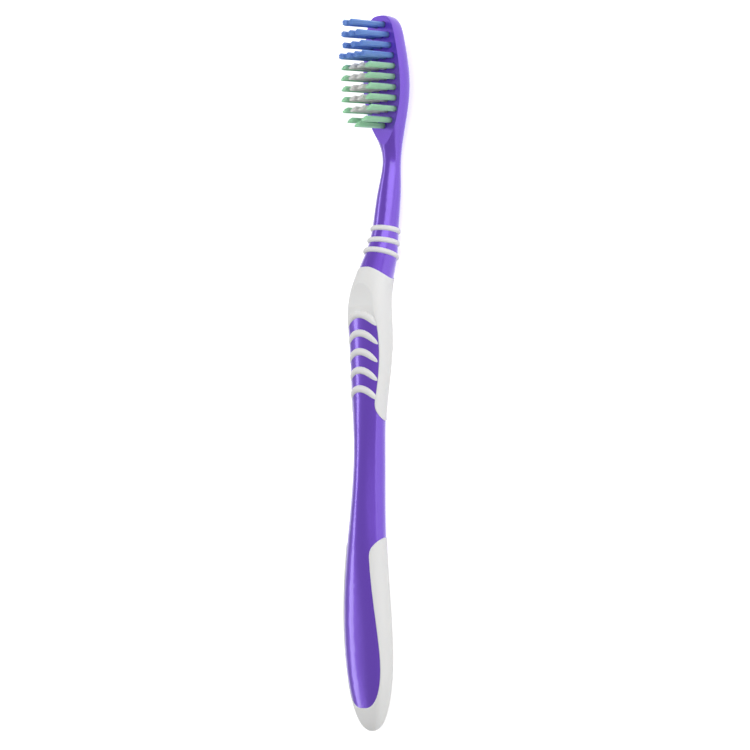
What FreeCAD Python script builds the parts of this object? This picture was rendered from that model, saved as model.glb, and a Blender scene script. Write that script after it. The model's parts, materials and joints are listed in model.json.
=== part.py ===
import FreeCAD, Part
import math
import os
from FreeCAD import Vector

# Manual toothbrush. It lies on its back: X runs along it towards the head, Z is the way the bristles point,
# and both sides of y = 0 are alike. Sizes are in millimetres. Each "at" is measured from the heel's tip.

# Handle sections: ovals of two half ellipses that meet at the belly, the widest level.
# Each has its width, how far front and back stand off the belly, and the belly's height.
heel_tip_height = 2.35
heel_roundness = 2.2

heel_at = 24.0
heel_width = 14.0
heel_front = 4.15
heel_back = 4.15
heel_belly = 4.95
heel_squareness = 2.8

palm_at = 48.0
palm_width = 11.9
palm_front = 4.4
palm_back = 4.5
palm_belly = 6.7

waist_at = 72.0
waist_width = 8.9
waist_front = 4.0
waist_back = 4.0
waist_belly = 6.8

finger_at = 83.0
finger_width = 9.5
finger_front = 3.4
finger_back = 4.7
finger_belly = 7.8

thumb_at = 104.0
thumb_width = 11.6
thumb_front = 2.7
thumb_back = 8.0
thumb_belly = 9.7

ridge_at = 117.5
ridge_width = 10.4
ridge_front = 3.3
ridge_back = 6.9
ridge_belly = 9.1

collar_at = 122.0
collar_width = 9.4
collar_front = 4.9
collar_back = 5.0
collar_belly = 6.3

neck_root_at = 130.0
neck_root_width = 7.6
neck_root_front = 3.75
neck_root_back = 3.75
neck_root_belly = 4.25

neck_at = 143.0
neck_width = 6.6
neck_front = 3.0
neck_back = 2.9
neck_belly = 2.9

throat_at = 155.0
throat_width = 6.2
throat_front = 2.7
throat_back = 2.75
throat_belly = 2.75

# Head: it widens from the throat to a blunt toe and leans forward, with a flat face and a flat back.
head_length = 35.0
head_shoulder_at = 161.5
head_shoulder_width = 10.2
head_widest_at = 171.0
head_width = 14.5
head_toe_at = 184.0
head_toe_width = 11.3
head_tip_width = 8.6
head_tip_roundness = 3.2
head_thickness = 4.9
head_tilt_deg = 5.6
head_face_step = 0.1
head_belly_below_face = 2.0
head_front = 4.0
head_squareness = 3.0
head_back_rounding = 0.3
head_flat_from = 164.0
head_flat_run_out = 20.0

# Soft grips
grip_thickness = 1.3
grip_proud = 0.2

thumb_grip_front_at = 122.0
thumb_grip_side_at = 119.2
thumb_grip_side_share = -0.45
thumb_grip_back_at = 120.2
window_top_at = 115.5
window_shoulder_share = 0.62
window_side_at = 104.5
window_side_share = 0.36
window_foot_at = 87.5
window_foot_share = 0.48
window_corner_share = 0.432
thumb_grip_end_at = 81.7
thumb_grip_end_share = -0.15
thumb_grip_end_rounding = 2.2
thumb_grip_end_back_at = 83.0

scoop_length = 8.6
scoop_depth = 0.45

rib_count = 5
rib_first_at = 109.2
rib_pitch = 4.9
rib_radius = 1.0
rib_proud = 0.7
rib_droop = 2.9
rib_reach = 0.93
rib_end_share = 0.18

heel_grip_end_at = 50.6
heel_grip_end_share = -0.2
heel_grip_end_rounding = 2.7
heel_grip_corner_share = 0.63
heel_grip_end_back_at = 49.0
heel_grip_shoulder_at = 44.4
heel_grip_shoulder_share = 0.75
heel_grip_side_at = 24.0
heel_grip_side_share = 0.63
heel_grip_tongue_at = 5.8

ring_count = 3
ring_first_at = 126.0
ring_pitch = 3.3
ring_radius = 0.75
ring_proud = 0.55

# Tufts
tuft_root_diameter = 1.7
tuft_tip_diameter = 1.95
tuft_length = 10.6
tuft_edge_radius = 0.2
tuft_hole_depth = 3.2
tuft_clearance = 0.01
anchor_thickness = 0.3
anchor_bite = 0.25
anchor_height = 1.4
anchor_floor_gap = 0.45


# Tuft rows from the toe: tufts across, pitch across, length beyond the usual, slope of the trimmed tip
tuft_rows = [
    (2, 2.6, 1.4, 0.0),
    (3, 2.7, 0.6, 0.0),
    (3, 3.3, -0.2, 0.0),
    (4, 2.8, 0.3, 0.0),
    (4, 3.0, 0.0, 25.0),
    (4, 3.0, 0.2, 12.0),
    (4, 3.05, 0.0, 12.0),
    (4, 3.05, 0.2, 12.0),
    (4, 3.0, 0.0, 25.0),
    (2, 5.4, 0.2, 25.0),
]
first_row_from_toe = 2.7
row_pitch = 2.85
heel_tuft_step = 1.3
heel_tuft_longer = 0.3

# Worked out from the sizes above
outside = 2 * heel_width
tilt = math.radians(head_tilt_deg)
loft_steps = 18
head_steps = 7
cap_steps = 5
oval_points = 12
ring_names = ["neck_ring_lower", "neck_ring_middle", "neck_ring_upper"]
column_names = {
    1: ["centre"],
    2: ["left", "right"],
    3: ["left", "centre", "right"],
    4: ["left", "inner_left", "inner_right", "right"],
}


def spline(points, start_slope=None):
    """Cubic through the points with even curvature, free at its ends or with a set slope at its start."""
    xs = [point[0] for point in points]
    ys = [point[1] for point in points]
    last = len(xs) - 1
    steps = [xs[i + 1] - xs[i] for i in range(last)]
    rises = [(ys[i + 1] - ys[i]) / steps[i] for i in range(last)]
    factor = [0.0] * (last + 1)
    bend = [0.0] * (last + 1)
    if start_slope is not None:
        factor[0] = 0.5
        bend[0] = 3 * (rises[0] - start_slope) / steps[0]
    for i in range(1, last):
        pivot = 2 * (steps[i - 1] + steps[i]) - steps[i - 1] * factor[i - 1]
        factor[i] = steps[i] / pivot
        bend[i] = (6 * (rises[i] - rises[i - 1]) - steps[i - 1] * bend[i - 1]) / pivot
    bend[last] = 0.0
    for i in range(last - 1, -1, -1):
        bend[i] -= factor[i] * bend[i + 1]

    def value(x):
        i = 0
        while i < last - 1 and x > xs[i + 1]:
            i += 1
        before = (xs[i + 1] - x) / steps[i]
        after = (x - xs[i]) / steps[i]
        curve = (before ** 3 - before) * bend[i] + (after ** 3 - after) * bend[i + 1]
        return before * ys[i] + after * ys[i + 1] + curve * steps[i] ** 2 / 6

    return value


tip_at = throat_at + head_length
face_rise = math.tan(tilt)


def face_height(at):
    """Height of the head's face, which runs straight up from just above the throat."""
    return throat_belly + throat_front + head_face_step + (at - throat_at) * face_rise


def head_section(at, width):
    """Section of the head: squarish, with its front above the face and its back below the flat."""
    back = head_thickness - head_belly_below_face + head_back_rounding
    return at, width, head_front, back, face_height(at) - head_belly_below_face, head_squareness


sections = [
    (heel_at, heel_width, heel_front, heel_back, heel_belly, heel_squareness),
    (palm_at, palm_width, palm_front, palm_back, palm_belly, 2.0),
    (waist_at, waist_width, waist_front, waist_back, waist_belly, 2.0),
    (finger_at, finger_width, finger_front, finger_back, finger_belly, 2.0),
    (thumb_at, thumb_width, thumb_front, thumb_back, thumb_belly, 2.0),
    (ridge_at, ridge_width, ridge_front, ridge_back, ridge_belly, 2.0),
    (collar_at, collar_width, collar_front, collar_back, collar_belly, 2.0),
    (neck_root_at, neck_root_width, neck_root_front, neck_root_back, neck_root_belly, 2.0),
    (neck_at, neck_width, neck_front, neck_back, neck_belly, 2.0),
    (throat_at, throat_width, throat_front, throat_back, throat_belly, 2.0),
    head_section(head_shoulder_at, head_shoulder_width),
    head_section(head_widest_at, head_width),
    head_section(head_toe_at, head_toe_width),
    head_section(tip_at, head_tip_width),
]
width_at = spline([(s[0], s[1]) for s in sections], 0.0)
front_at = spline([(s[0], s[2]) for s in sections], 0.0)
back_at = spline([(s[0], s[3]) for s in sections], 0.0)
belly_at = spline([(0.0, heel_tip_height)] + [(s[0], s[4]) for s in sections])
squareness_at = spline([(s[0], s[5]) for s in sections], 0.0)


def rounded(share, roundness):
    """Size left at a share of the way to a rounded end."""
    return (1 - share ** roundness) ** (1 / roundness)


def oval_size(at, grow):
    """Half width, front, back and belly of the section at a place, grown outwards on all sides."""
    left = 1.0
    if at < heel_at:
        left = rounded((heel_at - at) / (heel_at + grow), heel_roundness)
    if at > head_toe_at:
        left = rounded((at - head_toe_at) / (tip_at + grow - head_toe_at), head_tip_roundness)
    place = max(at, heel_at)
    half_width = (width_at(place) / 2 + grow) * left
    front = (front_at(place) + grow) * left
    back = (back_at(place) + grow) * left
    return half_width, front, back, belly_at(max(at, 0.0))


def level(at, share):
    """Height on the side view: the belly at 0, the front at 1 and the back at -1."""
    half_width, front, back, belly = oval_size(at, 0.0)
    depth = front if share > 0 else back
    return belly + share * depth


def oval(at, grow):
    """Closed outline of the handle across X, starting in the middle of the back."""
    half_width, front, back, belly = oval_size(at, grow)
    power = 2 / squareness_at(max(at, heel_at))
    points = []
    for i in range(oval_points):
        turn = 2 * math.pi * i / oval_points
        aside = math.copysign(abs(math.sin(turn)) ** power, math.sin(turn))
        down = math.copysign(abs(math.cos(turn)) ** power, math.cos(turn))
        depth = back if down > 0 else front
        points.append(Vector(at, half_width * aside, belly - depth * down))
    curve = Part.BSplineCurve()
    curve.interpolate(Points=points, PeriodicFlag=True)
    return Part.Wire([curve.toShape()])


def heel_places(grow):
    """Sections of the rounded heel, closer together towards its tip."""
    cap = heel_at + grow
    return [heel_at - cap * math.cos(math.pi / 2 * i / cap_steps) for i in range(1, cap_steps)]


def handle_form(grow):
    """Handle and neck as one smooth solid, from the rounded heel to the throat."""
    step = (throat_at - heel_at) / loft_steps
    places = heel_places(grow) + [heel_at + step * i for i in range(loft_steps + 1)]
    tip = Part.Vertex(Vector(-grow, 0, belly_at(0.0)))
    return Part.makeLoft([tip] + [oval(at, grow) for at in places], True, False)


def brush_form():
    """Handle, neck and head as one smooth solid, with both ends rounded."""
    step = (throat_at - heel_at) / loft_steps
    places = heel_places(0.0) + [heel_at + step * i for i in range(loft_steps + 1)]
    step = (head_toe_at - throat_at) / head_steps
    places += [throat_at + step * i for i in range(1, head_steps + 1)]
    cap = tip_at - head_toe_at
    places += [head_toe_at + cap * math.sin(math.pi / 2 * i / cap_steps) for i in range(1, cap_steps)]
    heel_tip = Part.Vertex(Vector(0, 0, belly_at(0.0)))
    head_tip = Part.Vertex(Vector(tip_at, 0, belly_at(tip_at)))
    return Part.makeLoft([heel_tip] + [oval(at, 0.0) for at in places] + [head_tip], True, False)


def side_curve(points):
    """Smooth curve on the side view through places given along X and as a share of the depth."""
    curve = Part.BSplineCurve()
    curve.interpolate(Points=[Vector(at, -outside, level(at, share)) for at, share in points])
    return curve.toShape()


def across(edges):
    """Solid across the whole width with the given outline on the side view."""
    return Part.Face(Part.Wire(edges)).extrude(Vector(0, 2 * outside, 0))


def path(points):
    """Straight edges through places on the side view, given along X and up Z."""
    corners = [Vector(x, -outside, z) for x, z in points]
    return [Part.LineSegment(a, b).toShape() for a, b in zip(corners, corners[1:])]


def thumb_region():
    """Sleeve round the back and sides of the thumb rest, with a window in front, open towards the heel."""
    top = side_curve([
        (thumb_grip_front_at, 1.0),
        (thumb_grip_side_at, thumb_grip_side_share),
        (thumb_grip_back_at, -1.0),
    ])
    foot = side_curve([
        (thumb_grip_end_back_at, -1.0),
        (thumb_grip_end_at, thumb_grip_end_share),
        (thumb_grip_end_at + thumb_grip_end_rounding, window_corner_share),
        (window_foot_at, window_foot_share),
        (window_side_at, window_side_share),
        ((window_side_at + window_top_at) / 2, window_shoulder_share),
        (window_top_at, 1.0),
    ])
    back = path([
        (thumb_grip_back_at, level(thumb_grip_back_at, -1.0)),
        (thumb_grip_back_at, -outside),
        (thumb_grip_end_back_at, -outside),
        (thumb_grip_end_back_at, level(thumb_grip_end_back_at, -1.0)),
    ])
    front = path([
        (window_top_at, level(window_top_at, 1.0)),
        (window_top_at, outside),
        (thumb_grip_front_at, outside),
        (thumb_grip_front_at, level(thumb_grip_front_at, 1.0)),
    ])
    return across([top] + back + [foot] + front)


def heel_region():
    """Cup round the back, the sides and the end of the heel, with a tongue of the handle bare in front."""
    edge = side_curve([
        (heel_grip_end_back_at, -1.0),
        (heel_grip_end_at, heel_grip_end_share),
        (heel_grip_end_at - heel_grip_end_rounding, heel_grip_corner_share),
        (heel_grip_shoulder_at, heel_grip_shoulder_share),
        (heel_grip_side_at, heel_grip_side_share),
        (heel_grip_tongue_at, 1.0),
    ])
    rest = path([
        (heel_grip_tongue_at, level(heel_grip_tongue_at, 1.0)),
        (heel_grip_tongue_at, outside),
        (-outside, outside),
        (-outside, -outside),
        (heel_grip_end_back_at, -outside),
        (heel_grip_end_back_at, level(heel_grip_end_back_at, -1.0)),
    ])
    return across([edge] + rest)


def rib(at):
    """Round bar bowed over the thumb rest, with its ends sunk into the sleeve."""
    end_at = at - rib_droop
    half_width = width_at(end_at) / 2
    peak = Vector(at, 0, level(at, 1.0) + rib_proud - rib_radius)
    reach = rib_reach * (half_width - rib_radius)
    left = Vector(end_at, -reach, level(end_at, rib_end_share))
    right = Vector(end_at, reach, level(end_at, rib_end_share))
    bow = Part.Arc(left, peak, right)
    start = Part.Circle(left, bow.tangent(bow.FirstParameter)[0], rib_radius)
    profile = Part.Wire([start.toShape()])
    return Part.Wire([bow.toShape()]).makePipeShell([profile], True, False)


def neck_ring(at):
    """Round band half sunk into the neck, square to the neck's axis."""
    half_width, front, back, belly = oval_size(at, 0.0)
    inset = ring_radius - ring_proud
    slope = belly_at(at + 0.5) - belly_at(at - 0.5)
    lean = math.atan(slope)
    deep = (front + back) / 2 - inset
    wide = half_width - inset
    centre = Vector(at, 0, belly + (front - back) / 2)
    up = Vector(-math.sin(lean), 0, math.cos(lean))
    side = Vector(0, 1, 0)
    if wide >= deep:
        course = Part.Ellipse(centre + side * wide, centre + up * deep, centre)
        start = centre + side * wide
        along = up
    else:
        course = Part.Ellipse(centre + up * deep, centre + side * wide, centre)
        start = centre + up * deep
        along = side
    profile = Part.Wire([Part.Circle(start, along, ring_radius).toShape()])
    return Part.Wire([course.toShape()]).makePipeShell([profile], True, True)


def on_head(from_tip, aside, depth):
    """Point in the head: back from the tip along its face, to one side and below the face."""
    x = tip_at - from_tip * math.cos(tilt) + depth * math.sin(tilt)
    z = face_height(tip_at) - from_tip * math.sin(tilt) - depth * math.cos(tilt)
    return Vector(x, aside, z)


def above_face():
    """Everything in front of the head's flat face."""
    far = tip_at + head_length
    return across(path([
        (throat_at, face_height(throat_at)),
        (far, face_height(far)),
        (far, 2 * outside),
        (throat_at, 2 * outside),
        (throat_at, face_height(throat_at)),
    ]))


def behind_back():
    """Everything behind the flat back of the head, with a round run-out towards the neck."""
    drop = head_thickness / math.cos(tilt)
    far = tip_at + head_length
    flat_end = Vector(head_flat_from, -outside, face_height(head_flat_from) - drop)
    turn = math.radians(60)
    centre = flat_end + Vector(math.sin(tilt), 0, -math.cos(tilt)) * head_flat_run_out

    def on_run_out(angle):
        return centre + Vector(-math.sin(tilt + angle), 0, math.cos(tilt + angle)) * head_flat_run_out

    low = on_run_out(turn)
    run_out = Part.Arc(flat_end, on_run_out(turn / 2), low).toShape()
    rest = path([
        (low.x, low.z),
        (low.x, -2 * outside),
        (far, -2 * outside),
        (far, face_height(far) - drop),
        (flat_end.x, flat_end.z),
    ])
    return across([run_out] + rest)


def tuft_places():
    """Node name, distance from the toe, place across, length and slope of each tuft."""
    places = []
    for row, (count, pitch, longer, slope) in enumerate(tuft_rows):
        from_toe = first_row_from_toe + row * row_pitch
        for column in range(count):
            aside = pitch * ((count - 1) / 2 - column)
            name = "tuft_row%02d_%s" % (row + 1, column_names[count][column])
            places.append((name, from_toe, aside, tuft_length + longer, slope))
    last = first_row_from_toe + (len(tuft_rows) - 1) * row_pitch + heel_tuft_step
    name = "tuft_row%02d_centre" % (len(tuft_rows) + 1)
    places.append((name, last, 0.0, tuft_length + heel_tuft_longer, tuft_rows[-1][3]))
    return places


def standing(shape, from_toe, aside):
    """Shape moved from the origin to a place on the head's face, square to the face."""
    turn = FreeCAD.Rotation(Vector(0, 1, 0), -head_tilt_deg)
    shape.Placement = FreeCAD.Placement(on_head(from_toe, aside, 0), turn)
    return shape


def anchor():
    """Flat metal staple across the bottom of a tuft hole."""
    width = tuft_root_diameter + 2 * anchor_bite
    corner = Vector(-anchor_thickness / 2, -width / 2, anchor_floor_gap - tuft_hole_depth)
    return Part.makeBox(anchor_thickness, width, anchor_height, corner)


def tuft(length, slope):
    """Bundle of filaments folded round its staple: round root, slight flare and trimmed tip."""
    root = tuft_root_diameter / 2 - tuft_clearance
    tip = tuft_tip_diameter / 2
    fold = root / 2
    edge = tuft_edge_radius
    floor = tuft_clearance - tuft_hole_depth
    corner = math.sqrt(0.5)
    outline = [
        Part.LineSegment(Vector(0, 0, floor), Vector(root - fold, 0, floor)),
        Part.Arc(
            Vector(root - fold, 0, floor),
            Vector(root - fold + fold * corner, 0, floor + fold - fold * corner),
            Vector(root, 0, floor + fold),
        ),
        Part.LineSegment(Vector(root, 0, floor + fold), Vector(root, 0, 0)),
        Part.LineSegment(Vector(root, 0, 0), Vector(tip, 0, length - edge)),
        Part.Arc(
            Vector(tip, 0, length - edge),
            Vector(tip - edge + edge * corner, 0, length - edge + edge * corner),
            Vector(tip - edge, 0, length),
        ),
        Part.LineSegment(Vector(tip - edge, 0, length), Vector(0, 0, length)),
        Part.LineSegment(Vector(0, 0, length), Vector(0, 0, floor)),
    ]
    face = Part.Face(Part.Wire([part.toShape() for part in outline]))
    bundle = face.revolve(Vector(0, 0, 0), Vector(0, 0, 1), 360)
    if slope:
        knife = Part.makeBox(4 * tip, 4 * tip, 4 * tip, Vector(-2 * tip, -2 * tip, 0))
        turn = FreeCAD.Rotation(Vector(0, 1, 0), slope)
        fall = tip * math.tan(math.radians(slope))
        knife.Placement = FreeCAD.Placement(Vector(0, 0, length - fall), turn)
        bundle = bundle.cut(knife)
    return bundle.cut(anchor())


def scoop():
    """Round cutter across the handle that dishes the thumb rest below the collar's ridge."""
    half = scoop_length / 2
    radius = (half ** 2 + scoop_depth ** 2) / (2 * scoop_depth)
    middle = ridge_at - half
    height = (level(ridge_at, 1.0) + level(ridge_at - scoop_length, 1.0)) / 2
    start = Vector(middle, -outside, height - scoop_depth + radius)
    return Part.makeCylinder(radius, 2 * outside, start, Vector(0, 1, 0))


def largest(shape):
    """Main solid of a cut, without the scraps that it leaves."""
    return max(shape.Solids, key=lambda solid: solid.Volume)


def build():
    """All sub-parts by node name, with the brush still measured from the tip of its heel."""
    proud = handle_form(grip_proud)
    inner = handle_form(-grip_thickness)
    thumb_pocket = thumb_region().cut(inner)
    heel_pocket = heel_region().cut(inner)
    ribs = [rib(rib_first_at - i * rib_pitch) for i in range(rib_count)]
    rings = [neck_ring(ring_first_at + i * ring_pitch) for i in range(ring_count)]
    places = tuft_places()
    holes = []
    anchors = []
    for name, from_tip, aside, length, slope in places:
        hole = Part.makeCylinder(tuft_root_diameter / 2, 2 * tuft_hole_depth, Vector(0, 0, -tuft_hole_depth))
        holes.append(standing(hole, from_tip, aside))
        anchors.append(standing(anchor(), from_tip, aside))

    core = brush_form().cut([above_face(), behind_back(), thumb_pocket, heel_pocket, scoop()])
    core = core.cut(ribs + rings)
    core = core.cut(holes + anchors)
    sleeve = proud.common(thumb_pocket).cut(scoop())

    parts = {
        "handle_core": largest(core),
        "thumb_grip": largest(sleeve.fuse(ribs)),
        "heel_grip": largest(proud.common(heel_pocket)),
        "tuft_anchors": Part.makeCompound(anchors),
    }
    for name, ring in zip(ring_names, rings):
        parts[name] = ring
    for name, from_tip, aside, length, slope in places:
        parts[name] = standing(tuft(length, slope), from_tip, aside)
    return parts


def export(parts):
    """One file for each node, with the origin under the middle of the brush at its lowest level."""
    middle = (tip_at - grip_proud) / 2
    lowest = min(parts[name].optimalBoundingBox(False).ZMin for name in ("handle_core", "heel_grip"))
    os.makedirs("parts", exist_ok=True)
    for name, shape in parts.items():
        shape.translate(Vector(-middle, 0, -lowest))
        shape.exportStep("parts/%s.step" % name)


export(build())
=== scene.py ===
import json
import math

import bpy
import numpy as np
from bpy.props import FloatProperty, FloatVectorProperty, IntProperty, PointerProperty, StringProperty
from mathutils import Matrix, Vector


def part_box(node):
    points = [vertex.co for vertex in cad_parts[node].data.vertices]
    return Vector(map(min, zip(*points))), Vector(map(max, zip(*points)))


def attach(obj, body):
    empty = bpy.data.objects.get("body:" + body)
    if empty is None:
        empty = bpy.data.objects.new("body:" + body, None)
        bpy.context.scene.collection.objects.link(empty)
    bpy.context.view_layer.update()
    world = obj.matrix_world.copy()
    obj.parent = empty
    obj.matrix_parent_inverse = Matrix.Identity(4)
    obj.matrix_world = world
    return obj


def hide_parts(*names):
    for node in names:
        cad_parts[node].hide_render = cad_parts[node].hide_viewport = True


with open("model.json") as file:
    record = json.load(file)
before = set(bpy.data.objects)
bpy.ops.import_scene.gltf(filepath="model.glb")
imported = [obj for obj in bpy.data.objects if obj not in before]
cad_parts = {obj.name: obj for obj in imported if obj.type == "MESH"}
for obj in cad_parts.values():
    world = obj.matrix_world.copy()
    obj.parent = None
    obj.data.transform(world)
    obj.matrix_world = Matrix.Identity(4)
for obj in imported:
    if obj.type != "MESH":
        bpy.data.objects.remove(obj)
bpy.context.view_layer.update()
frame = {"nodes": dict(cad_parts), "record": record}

bl_info = {
    "name": "Manual toothbrush",
    "version": (1, 0, 0),
    "blender": (4, 5, 0),
    "location": "View3D > Sidebar > Toothbrush",
    "description": "Dresses a toothbrush part with moulded plastics and bundles of nylon filaments",
    "category": "Object",
}

MM = 0.001
BODY = "root"
FACE_DEPTH = 5 * MM
TUFT_REACH = 3 * MM
GRIP_NODES = ("thumb_grip", "heel_grip", "neck_ring_lower", "neck_ring_middle", "neck_ring_upper")
TUFT_NODES = sorted(name for name in frame["nodes"] if name.startswith("tuft_row"))
SLOT_OF = {entry["node"]: entry["material_slot"] for entry in frame["record"]["subparts"]}


def linear(code):
    """Linear red, green and blue of an sRGB hex code."""
    parts = [int(code[i:i + 2], 16) / 255 for i in (1, 3, 5)]
    return [part / 12.92 if part <= 0.04045 else ((part + 0.055) / 1.055) ** 2.4 for part in parts]


class PlasticSettings(bpy.types.PropertyGroup):
    """Colours of the handle and its soft grips."""

    pearl: StringProperty(
        name="Pearl plastic", description="Colour of the handle, as sRGB hex", default="#5B25B5")
    pearl_glint: StringProperty(
        name="Pearl glint", description="Colour of the mica, as sRGB hex", default="#885CEA")
    grip: StringProperty(
        name="Soft grip", description="Colour of the soft grips, as sRGB hex", default="#F5F5F4")
    flake: FloatProperty(
        name="Flake", description="Size of a pearl flake", default=0.06 * MM, unit="LENGTH")
    grain: FloatProperty(
        name="Grain", description="Grain of the soft grips", default=0.12 * MM, unit="LENGTH")


class BristleSettings(bpy.types.PropertyGroup):
    """Sizes and colours of the filaments."""

    blue: StringProperty(
        name="Blue", description="Colour of the toe tufts, as sRGB hex", default="#7FAAFF")
    green: StringProperty(
        name="Green", description="Colour of the outer tufts, as sRGB hex", default="#B6FBC8")
    white: StringProperty(
        name="White", description="Colour of the inner tufts, as sRGB hex", default="#FAF8F6")
    filament: FloatProperty(
        name="Filament", description="Thickness of a filament", default=0.2 * MM, unit="LENGTH")
    pitch: FloatProperty(
        name="Pitch", description="Distance between filaments", default=0.215 * MM, unit="LENGTH")
    root: FloatProperty(
        name="Root", description="Tuft diameter at the head", default=1.68 * MM, unit="LENGTH")
    tip: FloatProperty(
        name="Tip", description="Tuft diameter at the tip", default=1.93 * MM, unit="LENGTH")
    uneven: FloatProperty(
        name="Uneven", description="Spread of the trimmed lengths", default=0.06 * MM, unit="LENGTH")
    buried: FloatProperty(
        name="Buried", description="Length kept inside the hole", default=1.0 * MM, unit="LENGTH")
    stray: FloatProperty(
        name="Stray", description="Sideways spread of the tips", default=0.02 * MM, unit="LENGTH")
    bow: FloatProperty(name="Bow", description="Bend of a filament", default=0.025 * MM, unit="LENGTH")
    sides: IntProperty(name="Sides", description="Sides of a filament", default=6, min=3)


class StageSettings(bpy.types.PropertyGroup):
    """Camera and light."""

    turn: FloatProperty(
        name="Turn", description="Camera's turn from the front to the side", default=45.5)
    tilt: FloatProperty(name="Tilt", description="Camera's place below the middle", default=5.0)
    distance: FloatProperty(
        name="Distance", description="Camera's distance", default=0.85, unit="LENGTH")
    picture: FloatProperty(
        name="Picture", description="Width of the picture at the brush", default=0.1998, unit="LENGTH")
    roll: FloatProperty(name="Roll", description="Camera's roll", default=2.0)
    aim: FloatVectorProperty(
        name="Aim", description="Point in the middle of the picture", default=(-0.0008, 0.0031, 0.0031))
    floor: StringProperty(
        name="Floor", description="Colour of the floor, as sRGB hex", default="#FFFFFF")
    floor_glow: FloatProperty(
        name="Floor glow", description="Light that the floor adds to its picture", default=0.6)
    surroundings: FloatProperty(name="Surroundings", description="Light from all round", default=0.42)


def add_node(tree, kind, **inputs):
    """New node with its named inputs set; an input is a value or another node's socket."""
    node = tree.nodes.new(kind)
    for name, value in inputs.items():
        socket = node.inputs[name.replace("_", " ")]
        if isinstance(value, bpy.types.NodeSocket):
            tree.links.new(value, socket)
        else:
            socket.default_value = value
    return node


def new_material(name):
    """Empty procedural material with its tree, shader and object coordinates."""
    material = bpy.data.materials.new(name)
    material.use_nodes = True
    tree = material.node_tree
    shader = tree.nodes["Principled BSDF"]
    place = add_node(tree, "ShaderNodeTexCoord").outputs["Object"]
    return material, tree, shader, place


def noise(tree, place, size, detail=2.0):
    """Even noise whose grains have a real size in metres."""
    return add_node(tree, "ShaderNodeTexNoise", Vector=place, Scale=1 / size, Detail=detail)


def mix_colours(tree, share, first, second):
    """Colour between two sRGB hex colours, by a share from another socket."""
    node = add_node(tree, "ShaderNodeMix")
    node.data_type = "RGBA"
    tree.links.new(share, node.inputs["Factor"])
    node.inputs[6].default_value = linear(first) + [1.0]
    node.inputs[7].default_value = linear(second) + [1.0]
    return node.outputs[2]


def pearl_plastic(settings):
    """Polypropylene with mica pearl, injection moulded in a polished tool:
    a glossy skin over a soft metallic depth."""
    material, tree, shader, place = new_material("polypropylene pearl injection moulded")
    flakes = noise(tree, place, settings.flake)
    colour = mix_colours(tree, flakes.outputs["Fac"], settings.pearl, settings.pearl_glint)
    tree.links.new(colour, shader.inputs["Base Color"])
    shader.inputs["Metallic"].default_value = 0.4
    shader.inputs["Roughness"].default_value = 0.3
    shader.inputs["Coat Weight"].default_value = 0.8
    shader.inputs["Coat Roughness"].default_value = 0.08
    return material


def soft_grip(settings):
    """Thermoplastic elastomer, overmoulded in a spark-eroded tool:
    a fine grain that spreads highlights wide."""
    material, tree, shader, place = new_material("elastomer overmoulded")
    shader.inputs["Base Color"].default_value = linear(settings.grip) + [1.0]
    shader.inputs["Roughness"].default_value = 0.55
    shader.inputs["Subsurface Weight"].default_value = 0.15
    shader.inputs["Subsurface Radius"].default_value = (1.0, 0.9, 0.8)
    shader.inputs["Subsurface Scale"].default_value = 0.6 * MM
    grain = noise(tree, place, settings.grain)
    bump = add_node(tree, "ShaderNodeBump", Strength=0.15, Distance=0.02 * MM, Height=grain.outputs["Fac"])
    tree.links.new(bump.outputs["Normal"], shader.inputs["Normal"])
    return material


def nylon(name, colour):
    """Nylon filament, drawn through a die: a smooth, slightly clear thread with a silky gloss."""
    material, tree, shader, place = new_material(name)
    shader.inputs["Base Color"].default_value = linear(colour) + [1.0]
    shader.inputs["Roughness"].default_value = 0.42
    shader.inputs["Subsurface Weight"].default_value = 0.6
    shader.inputs["Subsurface Radius"].default_value = (1.0, 1.0, 1.0)
    shader.inputs["Subsurface Scale"].default_value = 0.8 * MM
    return material


def staple_metal():
    """Nickel silver flat wire, rolled and cut: a dull yellowish metal."""
    material, tree, shader, place = new_material("nickel silver rolled wire")
    shader.inputs["Base Color"].default_value = linear("#C9BE9C") + [1.0]
    shader.inputs["Metallic"].default_value = 1.0
    shader.inputs["Roughness"].default_value = 0.35
    return material


def dress(node, material):
    """Gives a CAD node one material."""
    mesh = frame["nodes"][node].data
    mesh.materials.clear()
    mesh.materials.append(material)


def node_points(node):
    """Corners of a CAD node in the row frame, as an array of places."""
    mesh = frame["nodes"][node].data
    points = np.empty(3 * len(mesh.vertices))
    mesh.vertices.foreach_get("co", points)
    return points.reshape(-1, 3)


def head_axes():
    """The way the bristles point, the way to the toe and the way across, from the widest flat of the head."""
    mesh = frame["nodes"]["handle_core"].data
    normals = np.empty(3 * len(mesh.polygons))
    areas = np.empty(len(mesh.polygons))
    centres = np.empty(3 * len(mesh.polygons))
    mesh.polygons.foreach_get("normal", normals)
    mesh.polygons.foreach_get("area", areas)
    mesh.polygons.foreach_get("center", centres)
    normals = normals.reshape(-1, 3)
    centres = centres.reshape(-1, 3)
    low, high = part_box("tuft_anchors")
    on_face = (normals[:, 2] > 0.9) & (centres[:, 0] > low[0]) & (centres[:, 2] > high[2] - FACE_DEPTH)
    up = (normals[on_face] * areas[on_face, None]).sum(axis=0)
    up /= np.linalg.norm(up)
    across = np.array([0.0, 1.0, 0.0])
    toe = np.cross(across, up)
    return up, toe, across


def hex_places(diameter, pitch):
    """Centres of round filaments packed as tight as a honeycomb inside a circle, as shares of its radius."""
    reach = int(diameter / pitch) + 1
    column, row = np.meshgrid(np.arange(-reach, reach + 1), np.arange(-reach, reach + 1))
    x = (column + 0.5 * (row % 2)) * pitch
    y = row * pitch * math.sqrt(0.75)
    inside = np.hypot(x, y) <= (diameter - pitch) / 2
    return np.stack([x[inside], y[inside]], axis=1) / (diameter / 2)


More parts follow.
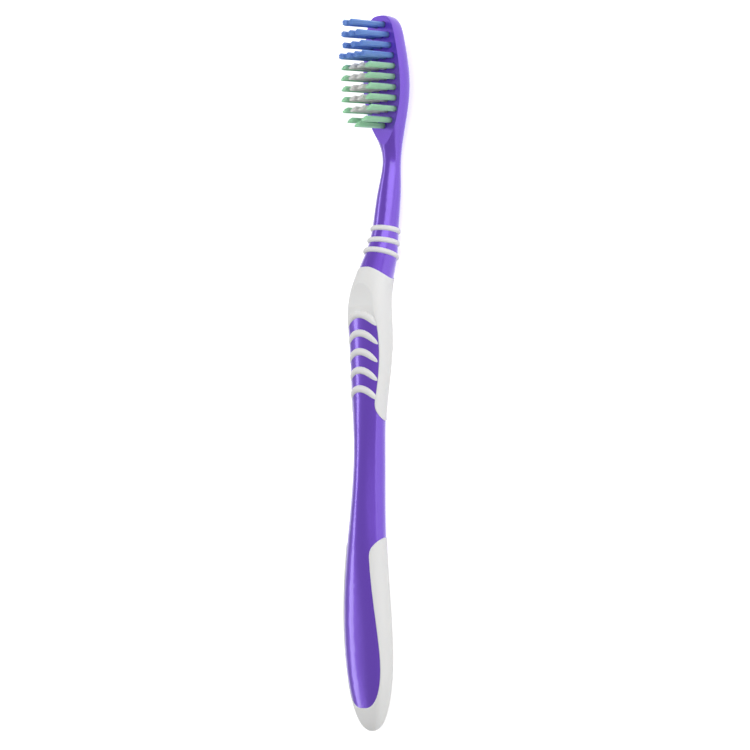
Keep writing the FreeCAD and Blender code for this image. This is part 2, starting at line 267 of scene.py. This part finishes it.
def filaments(node, settings, axes, seed):
    """Grid of filaments: each is a round tube along a line that spreads from the root circle to the tip
    circle and bows a little, closed by a dome at its trimmed end. One parameter runs round it and one
    along it."""
    up, toe, across = axes
    points = node_points(node)
    along = points @ up
    low, high = along.min(), along.max()
    ahead = points @ toe
    aside = points @ across
    centre = toe * (ahead.min() + ahead.max()) / 2 + across * (aside.min() + aside.max()) / 2
    rim = along > (low + high) / 2
    slope = np.polyfit(ahead[rim] - centre @ toe, along[rim], 1)[0]
    if abs(slope) < 0.1:
        slope = 0.0
    middle = high - abs(slope) * settings.tip / 2

    chance = np.random.default_rng(seed)
    places = hex_places(settings.root, settings.pitch)
    count = len(places)
    start = places * settings.root / 2
    end = places * settings.tip / 2
    end = end + chance.normal(0.0, settings.stray, end.shape)
    length = middle + slope * end[:, 0] + chance.normal(0.0, settings.uneven, count)
    length = np.minimum(length, high)
    bottom = np.full(count, root_level(node, axes) - settings.buried)

    radius = settings.filament / 2
    body = np.linspace(0.0, 1.0, 4)
    dome = np.array([0.0, 0.55, 0.9])
    ring_share = np.concatenate([body, np.ones(len(dome) - 1)])
    ring_lift = np.concatenate([np.zeros(len(body)), radius * dome[1:]])
    ring_size = np.concatenate([np.ones(len(body)), np.sqrt(1 - dome[1:] ** 2)])
    turn = 2 * np.pi * np.arange(settings.sides) / settings.sides

    bow = chance.normal(0.0, settings.bow, (count, 2))
    share = ring_share[None, :, None]
    middle_line = start[:, None, :] * (1 - share) + end[:, None, :] * share
    middle_line = middle_line + bow[:, None, :] * np.sin(np.pi * share)
    height = bottom[:, None] * (1 - ring_share) + (length - radius)[:, None] * ring_share + ring_lift
    circle = np.stack([np.cos(turn), np.sin(turn)], axis=1) * radius
    flat = middle_line[:, :, None, :] + ring_size[None, :, None, None] * circle[None, None, :, :]
    grid = flat[..., 0:1] * toe + flat[..., 1:2] * across + height[:, :, None, None] * up + centre
    rings = len(ring_share)
    return grid.reshape(-1, 3), tube_faces(count, rings, settings.sides)


def tube_faces(count, rings, sides):
    """Quads of closed tubes on a grid of tube, ring and side, and a cap at each end, facing outwards."""
    index = np.arange(count * rings * sides).reshape(count, rings, sides)
    after = np.roll(index, -1, axis=2)
    quads = np.stack([index[:, :-1], after[:, :-1], after[:, 1:], index[:, 1:]], axis=-1)
    faces = quads.reshape(-1, 4).tolist()
    faces += index[:, 0, ::-1].tolist()
    faces += index[:, -1, :].tolist()
    return faces


def root_level(node, axes):
    """Height of the head's face along the bristles, just under a tuft."""
    up, toe, across = axes
    core = node_points("handle_core")
    tuft = node_points(node)
    near = np.abs(core @ toe - (tuft @ toe).mean()) < TUFT_REACH
    level = core[near] @ up
    return float(level.max())


def make_mesh(name, points, faces, material):
    """New object at the origin with smooth faces and one material."""
    mesh = bpy.data.meshes.new(name)
    mesh.from_pydata(points.tolist(), [], faces)
    mesh.shade_smooth()
    mesh.materials.append(material)
    piece = bpy.data.objects.new(name, mesh)
    bpy.context.scene.collection.objects.link(piece)
    return piece


class TOOTHBRUSH_OT_handle(bpy.types.Operator):
    """Gives the handle its pearl plastic"""

    bl_idname = "toothbrush.handle"
    bl_label = "Handle"

    def execute(self, context):
        dress("handle_core", pearl_plastic(context.scene.toothbrush_plastic))
        dress("tuft_anchors", staple_metal())
        return {"FINISHED"}


class TOOTHBRUSH_OT_grips(bpy.types.Operator):
    """Gives the sleeve, the heel cup and the neck rings their soft elastomer"""

    bl_idname = "toothbrush.grips"
    bl_label = "Soft grips"

    def execute(self, context):
        material = soft_grip(context.scene.toothbrush_plastic)
        for node in GRIP_NODES:
            dress(node, material)
        return {"FINISHED"}


class TOOTHBRUSH_OT_tufts(bpy.types.Operator):
    """Replaces each tuft with a bundle of filaments"""

    bl_idname = "toothbrush.tufts"
    bl_label = "Tufts"

    def execute(self, context):
        settings = context.scene.toothbrush_bristle
        materials = {
            "blue_bristle": nylon("nylon blue drawn filament", settings.blue),
            "green_bristle": nylon("nylon green drawn filament", settings.green),
            "white_bristle": nylon("nylon white drawn filament", settings.white),
        }
        axes = head_axes()
        for seed, node in enumerate(TUFT_NODES):
            points, faces = filaments(node, settings, axes, seed)
            piece = make_mesh(node + "_filaments", points, faces, materials[SLOT_OF[node]])
            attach(piece, BODY)
            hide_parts(node)
        return {"FINISHED"}


class TOOTHBRUSH_OT_stage(bpy.types.Operator):
    """Sets the floor, the light and the camera"""

    bl_idname = "toothbrush.stage"
    bl_label = "Stage"

    def execute(self, context):
        scene = context.scene
        settings = scene.toothbrush_stage
        add_floor(settings)
        add_world(scene, settings)
        add_lights(settings)
        add_camera(scene, settings)
        scene.view_settings.view_transform = "Standard"
        return {"FINISHED"}


def add_floor(settings):
    """Plain pale floor under the brush, white to the camera and its mirrors, with the shadow kept."""
    half = 3.0
    points = np.array([[-half, -half, 0], [half, -half, 0], [half, half, 0], [-half, half, 0]])
    material, tree, shader, place = new_material("paper plain white")
    shader.inputs["Base Color"].default_value = linear(settings.floor) + [1.0]
    shader.inputs["Roughness"].default_value = 0.9
    shader.inputs["Specular IOR Level"].default_value = 0.0
    rays = add_node(tree, "ShaderNodeLightPath")
    seen = add_node(tree, "ShaderNodeMath", Value=rays.outputs["Is Camera Ray"])
    seen.operation = "MAXIMUM"
    tree.links.new(rays.outputs["Is Glossy Ray"], seen.inputs[1])
    glow = add_node(tree, "ShaderNodeMath", Value=seen.outputs["Value"])
    glow.operation = "MULTIPLY"
    glow.inputs[1].default_value = settings.floor_glow
    shader.inputs["Emission Color"].default_value = (1.0, 1.0, 1.0, 1.0)
    tree.links.new(glow.outputs["Value"], shader.inputs["Emission Strength"])
    floor = make_mesh("floor", points, [[0, 1, 2, 3]], material)


def add_world(scene, settings):
    """Even surroundings that light the brush softly and are white to the camera."""
    world = bpy.data.worlds.new("studio")
    world.use_nodes = True
    tree = world.node_tree
    background = tree.nodes["Background"]
    background.inputs["Color"].default_value = (1.0, 1.0, 1.0, 1.0)
    rays = add_node(tree, "ShaderNodeLightPath")
    seen = rays.outputs["Is Camera Ray"]
    level = add_node(tree, "ShaderNodeMapRange", Value=seen, To_Min=settings.surroundings, To_Max=1.0)
    tree.links.new(level.outputs["Result"], background.inputs["Strength"])
    scene.world = world


def view_axes(settings):
    """The way from the brush to the camera, the picture's up and its right."""
    turn = math.radians(settings.turn)
    tilt = math.radians(settings.tilt)
    out = Vector((0.0, -math.sin(turn), math.cos(turn))) * math.cos(tilt) + Vector((-math.sin(tilt), 0, 0))
    right = Vector((1.0, 0.0, 0.0)).cross(out).normalized()
    up = out.cross(right)
    roll = Matrix.Rotation(math.radians(settings.roll), 3, out)
    return out, roll @ up, roll @ right


def aim_at(thing, place, out, up, right):
    """Puts a camera or lamp at a place, looking back along out."""
    thing.matrix_world = Matrix.Translation(place) @ Matrix((right, up, out)).transposed().to_4x4()


def add_lights(settings):
    """A long low soft box on the near side, a long one behind the brush and a broad one by the camera."""
    out, up = view_axes(settings)[:2]
    boxes = [
        ("near box", Vector((0.0, -0.7, 0.1)), 0.14, 0.9, 0.55),
        ("far box", Vector((0.0, 0.55, 0.4)), 0.14, 0.9, 1.3),
        ("top box", out * 0.6 + up * 0.4, 0.7, 0.4, 1.9),
    ]
    for name, place, width, height, power in boxes:
        lamp = bpy.data.lights.new(name, "AREA")
        lamp.shape = "RECTANGLE"
        lamp.size = width
        lamp.size_y = height
        lamp.energy = power
        thing = bpy.data.objects.new(name, lamp)
        bpy.context.scene.collection.objects.link(thing)
        away = place.normalized()
        side = up.cross(away).normalized()
        aim_at(thing, place, away, away.cross(side), side)


def add_camera(scene, settings):
    """Camera at the photograph's angle, with a long lens."""
    out, up, right = view_axes(settings)
    data = bpy.data.cameras.new("camera")
    data.sensor_width = 36.0
    data.lens = data.sensor_width * settings.distance / settings.picture
    camera = bpy.data.objects.new("camera", data)
    scene.collection.objects.link(camera)
    aim_at(camera, Vector(settings.aim) + out * settings.distance, out, up, right)
    scene.camera = camera


class TOOTHBRUSH_PT_panel(bpy.types.Panel):
    """Lists the steps that dress the toothbrush"""

    bl_idname = "TOOTHBRUSH_PT_panel"
    bl_label = "Toothbrush"
    bl_space_type = "VIEW_3D"
    bl_region_type = "UI"
    bl_category = "Toothbrush"

    def draw(self, context):
        for operator in OPERATORS:
            self.layout.operator(operator.bl_idname)


SETTINGS = {
    "toothbrush_plastic": PlasticSettings,
    "toothbrush_bristle": BristleSettings,
    "toothbrush_stage": StageSettings,
}
OPERATORS = (TOOTHBRUSH_OT_handle, TOOTHBRUSH_OT_grips, TOOTHBRUSH_OT_tufts, TOOTHBRUSH_OT_stage)


def register():
    for name, group in SETTINGS.items():
        bpy.utils.register_class(group)
        setattr(bpy.types.Scene, name, PointerProperty(type=group))
    for operator in OPERATORS:
        bpy.utils.register_class(operator)
    bpy.utils.register_class(TOOTHBRUSH_PT_panel)


def unregister():
    bpy.utils.unregister_class(TOOTHBRUSH_PT_panel)
    for operator in reversed(OPERATORS):
        bpy.utils.unregister_class(operator)
    for name, group in SETTINGS.items():
        delattr(bpy.types.Scene, name)
        bpy.utils.unregister_class(group)


def main():
    """Registers the add-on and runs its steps."""
    register()
    bpy.ops.toothbrush.handle()
    bpy.ops.toothbrush.grips()
    bpy.ops.toothbrush.tufts()
    bpy.ops.toothbrush.stage()


if __name__ == "__main__":
    main()
